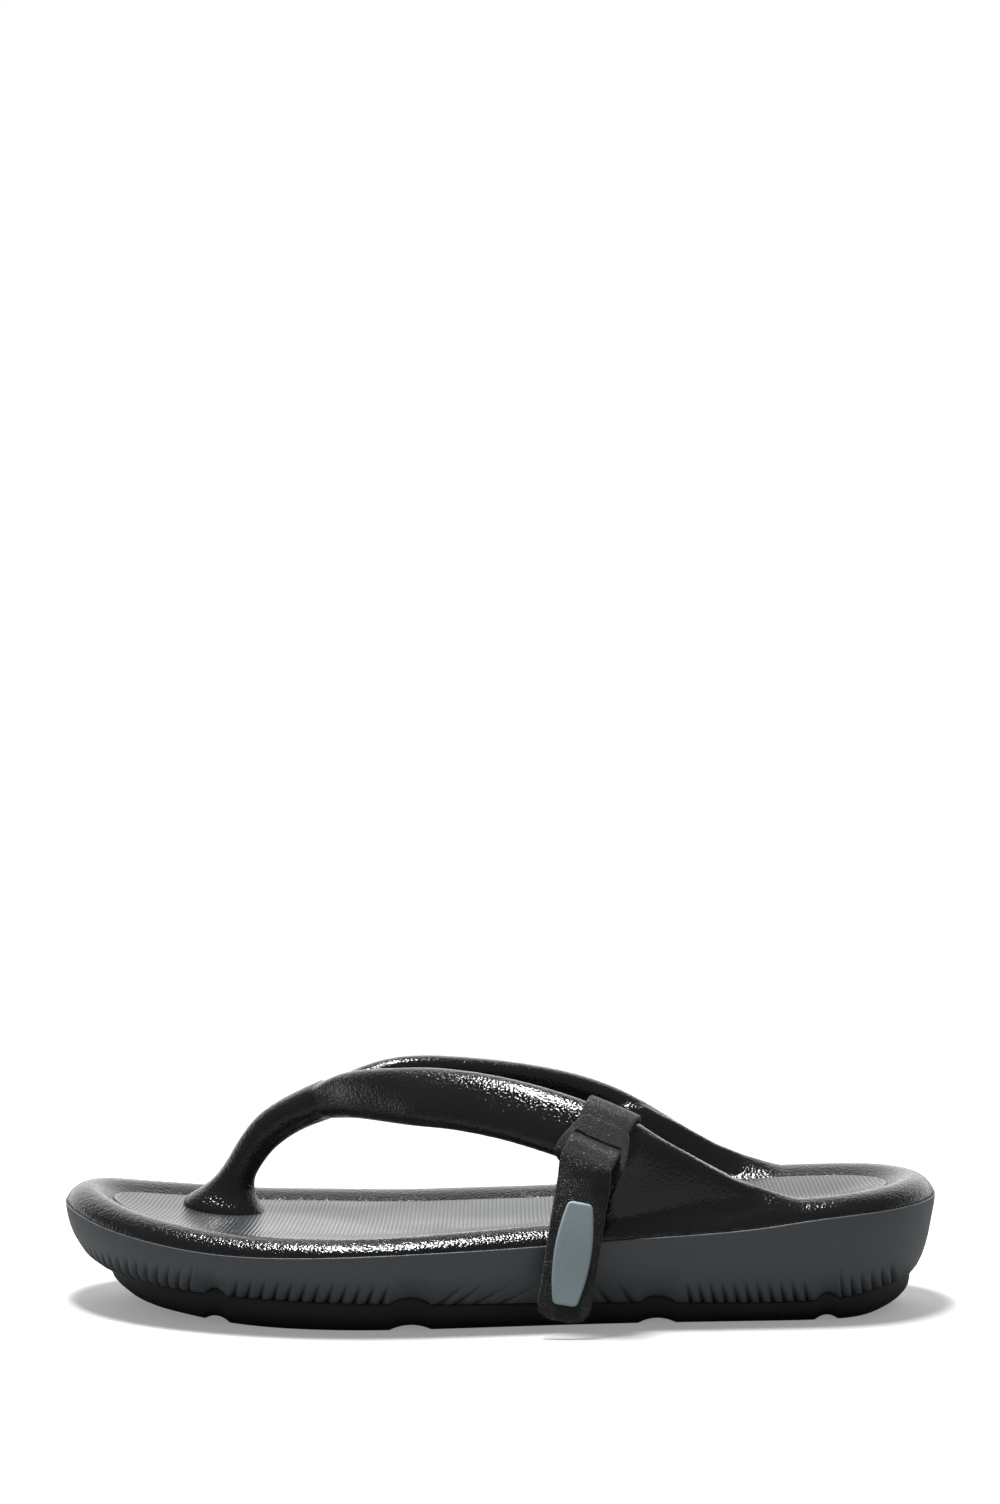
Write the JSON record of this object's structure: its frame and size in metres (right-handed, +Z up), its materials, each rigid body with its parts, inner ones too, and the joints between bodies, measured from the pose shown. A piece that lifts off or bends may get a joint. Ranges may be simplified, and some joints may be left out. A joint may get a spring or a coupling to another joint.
{
  "type": "flip flop",
  "caption": "Left thong sandal in moulded foam: tapered sole, dished footbed, Y strap with a toe post, and a sliding leather keeper with a hanging tail.",
  "frame": {"origin": "on the ground under the middle of the sole", "axes": "+X from the toe to the heel, -Y towards the outer side of the foot, +Z up"},
  "size_m": [0.2847, 0.102, 0.0783],
  "materials": {
    "outsole_foam": "satin",
    "midsole_foam": "satin",
    "upper_foam": "gloss",
    "panel_foam": "matte",
    "keeper_leather": "matte",
    "label_print": "matte"
  },
  "bodies": {
    "sandal": {"outsole": "outsole_foam", "midsole": "midsole_foam", "footbed": "upper_foam", "footbed_panel": "panel_foam", "strap": "upper_foam"},
    "keeper_loop": {"keeper_loop": "keeper_leather"},
    "keeper_tail": {"keeper_tail": "keeper_leather", "keeper_label": "label_print"}
  },
  "joints": [
    {"name": "keeper_slide", "type": "hinge", "parent": "sandal", "child": "keeper_loop", "pos_m": [0.0083, 0.04281, -0.07164], "axis": [-0.4292, -0.8086, -0.4025], "range_deg": [0, 2.3]},
    {"name": "tail_swing", "type": "hinge", "parent": "keeper_loop", "child": "keeper_tail", "pos_m": [0.02916, -0.045, 0.06051], "axis": [-0.8899, 0.3025, 0.3414], "range_deg": [0, 100]}
  ]
}
